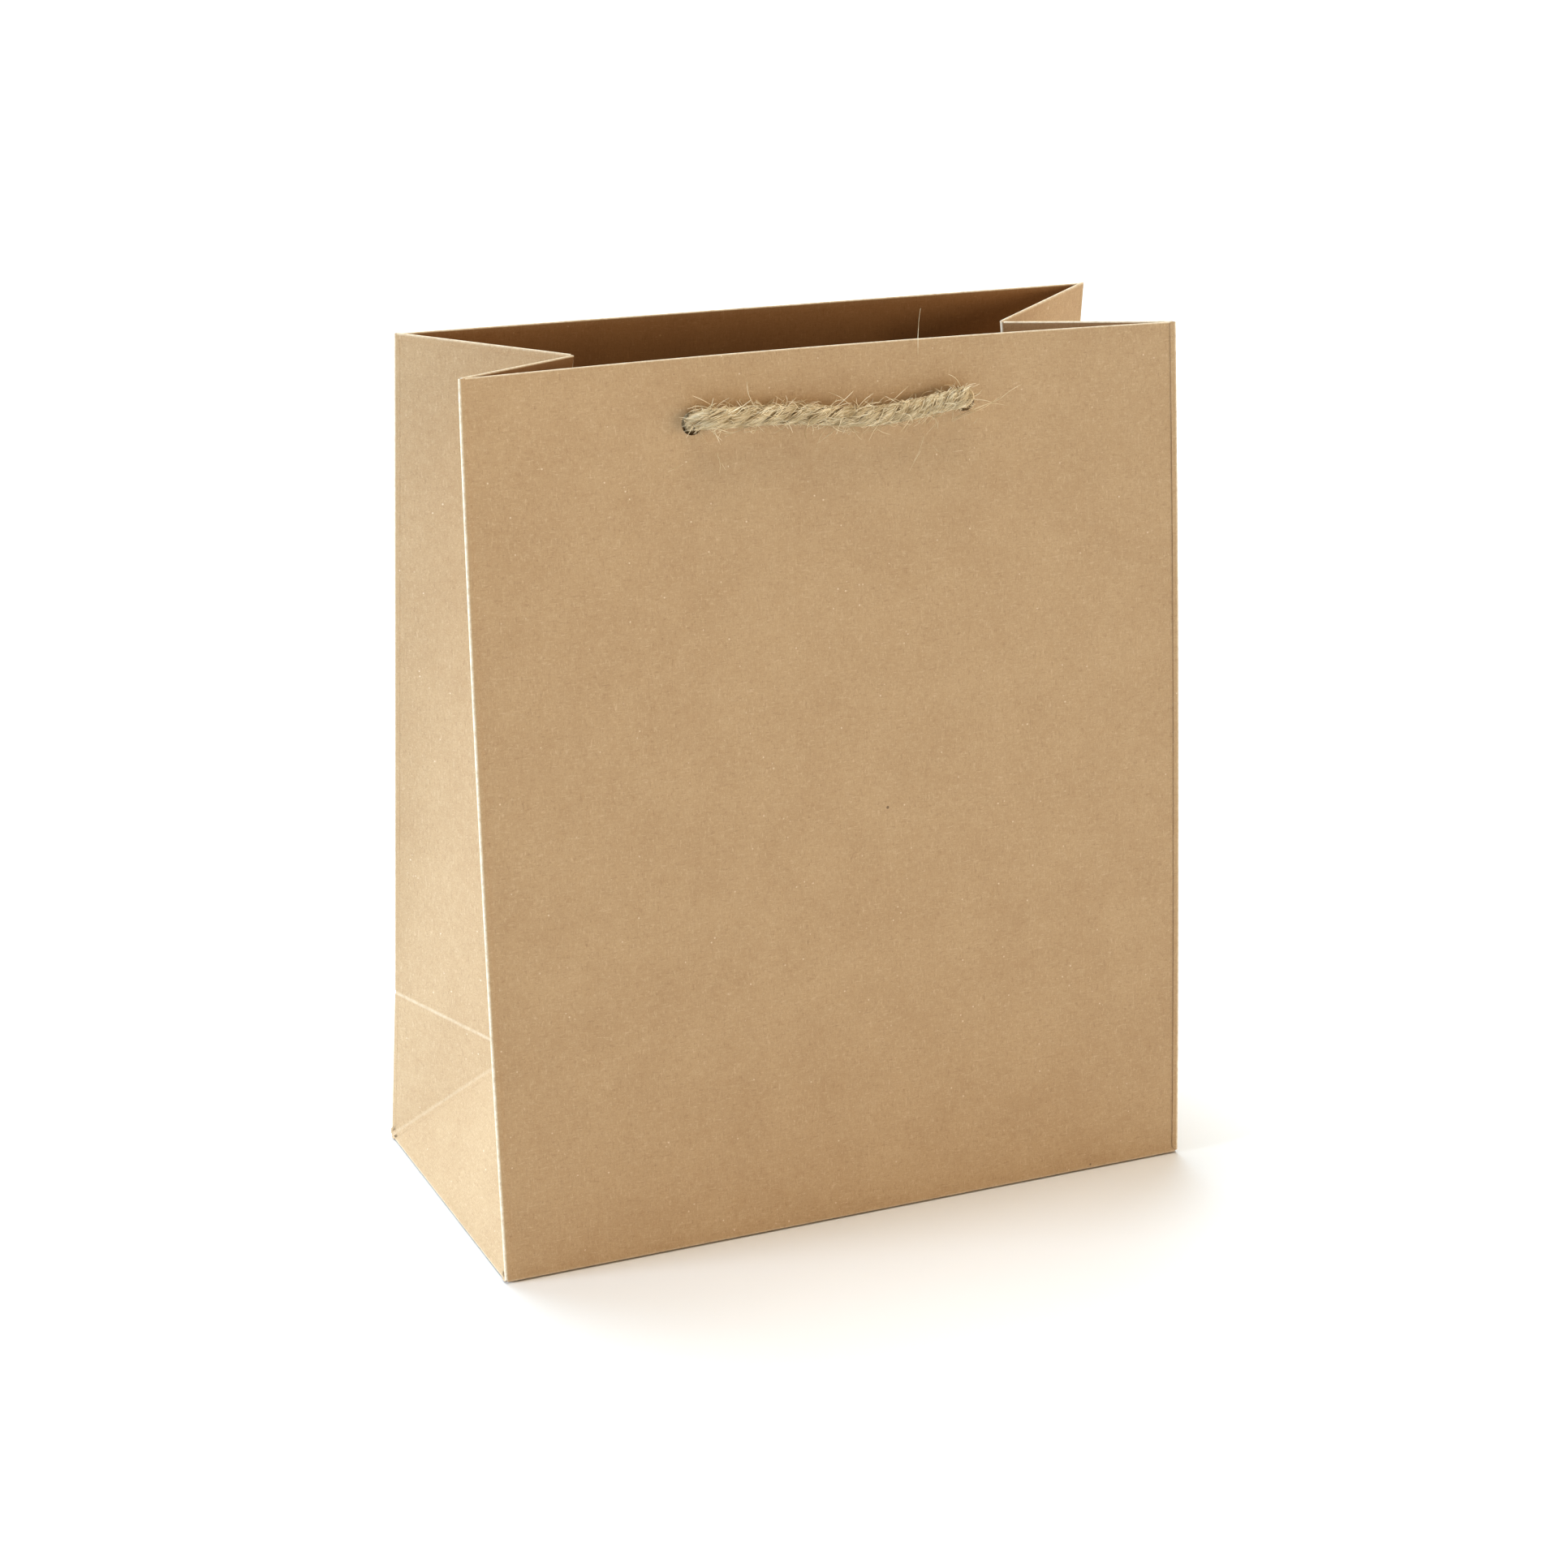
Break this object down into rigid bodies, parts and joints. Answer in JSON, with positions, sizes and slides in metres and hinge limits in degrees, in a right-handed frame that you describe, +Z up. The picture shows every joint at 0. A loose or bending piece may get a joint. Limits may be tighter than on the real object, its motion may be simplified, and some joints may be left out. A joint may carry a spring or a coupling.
{
  "type": "gift bag",
  "caption": "Upright kraft-paper gift bag with folding side gussets, a turned-in rim, a loose base board and knotted jute rope handles.",
  "frame": {"origin": "middle of the base, on the surface that the bag stands on", "axes": "+X to the bag's right, +Y to its back, +Z up to the mouth"},
  "size_m": [0.2194, 0.1018, 0.2543],
  "materials": {
    "kraft_paper": "matte, fine fibres",
    "stiffening_card": "matte",
    "base_board_card": "matte",
    "jute_rope": "rough, hairy three-strand twist"
  },
  "bodies": {
    "base": {"base_flap_front": "kraft_paper", "base_flap_back": "kraft_paper", "base_flap_left": "kraft_paper", "base_flap_right": "kraft_paper"},
    "base_board": {"base_board": "base_board_card"},
    "front_panel": {"front_panel": "kraft_paper", "front_stiffening_card": "stiffening_card", "front_top_hem": "kraft_paper", "front_handle_rope": "jute_rope", "front_knot_left": "jute_rope", "front_knot_right": "jute_rope"},
    "back_lower": {"back_panel_lower": "kraft_paper", "side_seam_lower": "kraft_paper"},
    "back_panel": {"back_panel": "kraft_paper", "back_stiffening_card": "stiffening_card", "back_top_hem": "kraft_paper", "side_seam_upper": "kraft_paper", "back_handle_rope": "jute_rope", "back_knot_left": "jute_rope", "back_knot_right": "jute_rope"},
    "gusset_left_base": {"gusset_left_base_triangle": "kraft_paper"},
    "gusset_left_heel": {"gusset_left_heel_triangle": "kraft_paper"},
    "gusset_left_front_edge": {"gusset_left_front_edge": "kraft_paper"},
    "gusset_left_front_fold": {"gusset_left_front_fold": "kraft_paper", "gusset_left_front_hem": "kraft_paper"},
    "gusset_left_rear_edge": {"gusset_left_rear_edge": "kraft_paper", "gusset_left_rear_hem": "kraft_paper"},
    "gusset_left_rear_fold": {"gusset_left_rear_fold": "kraft_paper"},
    "gusset_right_base": {"gusset_right_base_triangle": "kraft_paper"},
    "gusset_right_heel": {"gusset_right_heel_triangle": "kraft_paper"},
    "gusset_right_front_edge": {"gusset_right_front_edge": "kraft_paper"},
    "gusset_right_front_fold": {"gusset_right_front_fold": "kraft_paper", "gusset_right_front_hem": "kraft_paper"},
    "gusset_right_rear_edge": {"gusset_right_rear_edge": "kraft_paper", "gusset_right_rear_hem": "kraft_paper"},
    "gusset_right_rear_fold": {"gusset_right_rear_fold": "kraft_paper"}
  },
  "joints": [
    {"name": "front_panel_lean", "type": "hinge", "parent": "base", "child": "front_panel", "pos_m": [0, -0.051, 0], "axis": [-1, 0, 0], "range_deg": [-1.5, 3]},
    {"name": "back_heel_lean", "type": "hinge", "parent": "base", "child": "back_lower", "pos_m": [0, 0.051, 0], "axis": [1, 0, 0], "range_deg": [-1.42, 2.83]},
    {"name": "back_panel_lean", "type": "hinge", "parent": "back_lower", "child": "back_panel", "pos_m": [0, 0.04514, 0.05066], "axis": [1, 0, 0], "range_deg": [-1.17, 2.33]},
    {"name": "gusset_left_base_fold", "type": "hinge", "parent": "base", "child": "gusset_left_base", "pos_m": [-0.11, -0.051, 0], "axis": [0, 1, 0], "range_deg": [-2.76, 5.5]},
    {"name": "gusset_left_heel_fold", "type": "hinge", "parent": "back_lower", "child": "gusset_left_heel", "pos_m": [-0.11, 0.051, 0], "axis": [0, -0.1149, 0.9934], "range_deg": [-2.77, 5.52]},
    {"name": "gusset_left_front_edge_fold", "type": "hinge", "parent": "front_panel", "child": "gusset_left_front_edge", "pos_m": [-0.11, -0.051, 0], "axis": [0, 0.1208, 0.9927], "range_deg": [-5.63, 2.82]},
    {"name": "gusset_left_front_twist", "type": "hinge", "parent": "gusset_left_front_edge", "child": "gusset_left_front_fold", "pos_m": [-0.08748, 0, 0.04576], "axis": [-0.1074, -0.0963, 0.9895], "range_deg": [-15.72, 7.87]},
    {"name": "gusset_left_rear_edge_fold", "type": "hinge", "parent": "back_panel", "child": "gusset_left_rear_edge", "pos_m": [-0.11, 0.04514, 0.05066], "axis": [0, -0.0565, 0.9984], "range_deg": [-10.4, 20.77]},
    {"name": "gusset_left_rear_twist", "type": "hinge", "parent": "gusset_left_rear_edge", "child": "gusset_left_rear_fold", "pos_m": [-0.11, 0.04514, 0.05066], "axis": [0.2077, -0.1847, 0.9606], "range_deg": [-15.68, 7.85]},
    {"name": "gusset_right_base_fold", "type": "hinge", "parent": "base", "child": "gusset_right_base", "pos_m": [0.11, -0.051, 0], "axis": [0, -1, 0], "range_deg": [-2.76, 5.5]},
    {"name": "gusset_right_heel_fold", "type": "hinge", "parent": "back_lower", "child": "gusset_right_heel", "pos_m": [0.11, 0.051, 0], "axis": [0, 0.1149, -0.9934], "range_deg": [-2.77, 5.52]},
    {"name": "gusset_right_front_edge_fold", "type": "hinge", "parent": "front_panel", "child": "gusset_right_front_edge", "pos_m": [0.11, -0.051, 0], "axis": [0, -0.1208, -0.9927], "range_deg": [-5.63, 2.82]},
    {"name": "gusset_right_front_twist", "type": "hinge", "parent": "gusset_right_front_edge", "child": "gusset_right_front_fold", "pos_m": [0.08748, 0, 0.04576], "axis": [-0.1074, 0.0963, -0.9895], "range_deg": [-15.72, 7.87]},
    {"name": "gusset_right_rear_edge_fold", "type": "hinge", "parent": "back_panel", "child": "gusset_right_rear_edge", "pos_m": [0.11, 0.04514, 0.05066], "axis": [0, 0.0565, -0.9984], "range_deg": [-10.4, 20.77]},
    {"name": "gusset_right_rear_twist", "type": "hinge", "parent": "gusset_right_rear_edge", "child": "gusset_right_rear_fold", "pos_m": [0.11, 0.04514, 0.05066], "axis": [0.2077, 0.1847, -0.9606], "range_deg": [-15.68, 7.85]},
    {"name": "base_board_lift", "type": "slide", "parent": "base", "child": "base_board", "axis": [0, 0, 1], "range_m": [0, 0.006]}
  ],
  "couplings": [
    {"joint": "back_heel_lean", "follows": "front_panel_lean", "ratio": 0.936},
    {"joint": "back_panel_lean", "follows": "front_panel_lean", "ratio": 0.769},
    {"joint": "gusset_left_base_fold", "follows": "front_panel_lean", "ratio": 1.827},
    {"joint": "gusset_left_heel_fold", "follows": "front_panel_lean", "ratio": 1.832},
    {"joint": "gusset_left_front_edge_fold", "follows": "front_panel_lean", "ratio": -1.869},
    {"joint": "gusset_left_front_twist", "follows": "front_panel_lean", "ratio": -5.233},
    {"joint": "gusset_left_rear_edge_fold", "follows": "front_panel_lean", "ratio": 6.917},
    {"joint": "gusset_left_rear_twist", "follows": "front_panel_lean", "ratio": -5.219},
    {"joint": "gusset_right_base_fold", "follows": "front_panel_lean", "ratio": 1.827},
    {"joint": "gusset_right_heel_fold", "follows": "front_panel_lean", "ratio": 1.832},
    {"joint": "gusset_right_front_edge_fold", "follows": "front_panel_lean", "ratio": -1.869},
    {"joint": "gusset_right_front_twist", "follows": "front_panel_lean", "ratio": -5.233},
    {"joint": "gusset_right_rear_edge_fold", "follows": "front_panel_lean", "ratio": 6.917},
    {"joint": "gusset_right_rear_twist", "follows": "front_panel_lean", "ratio": -5.219}
  ]
}
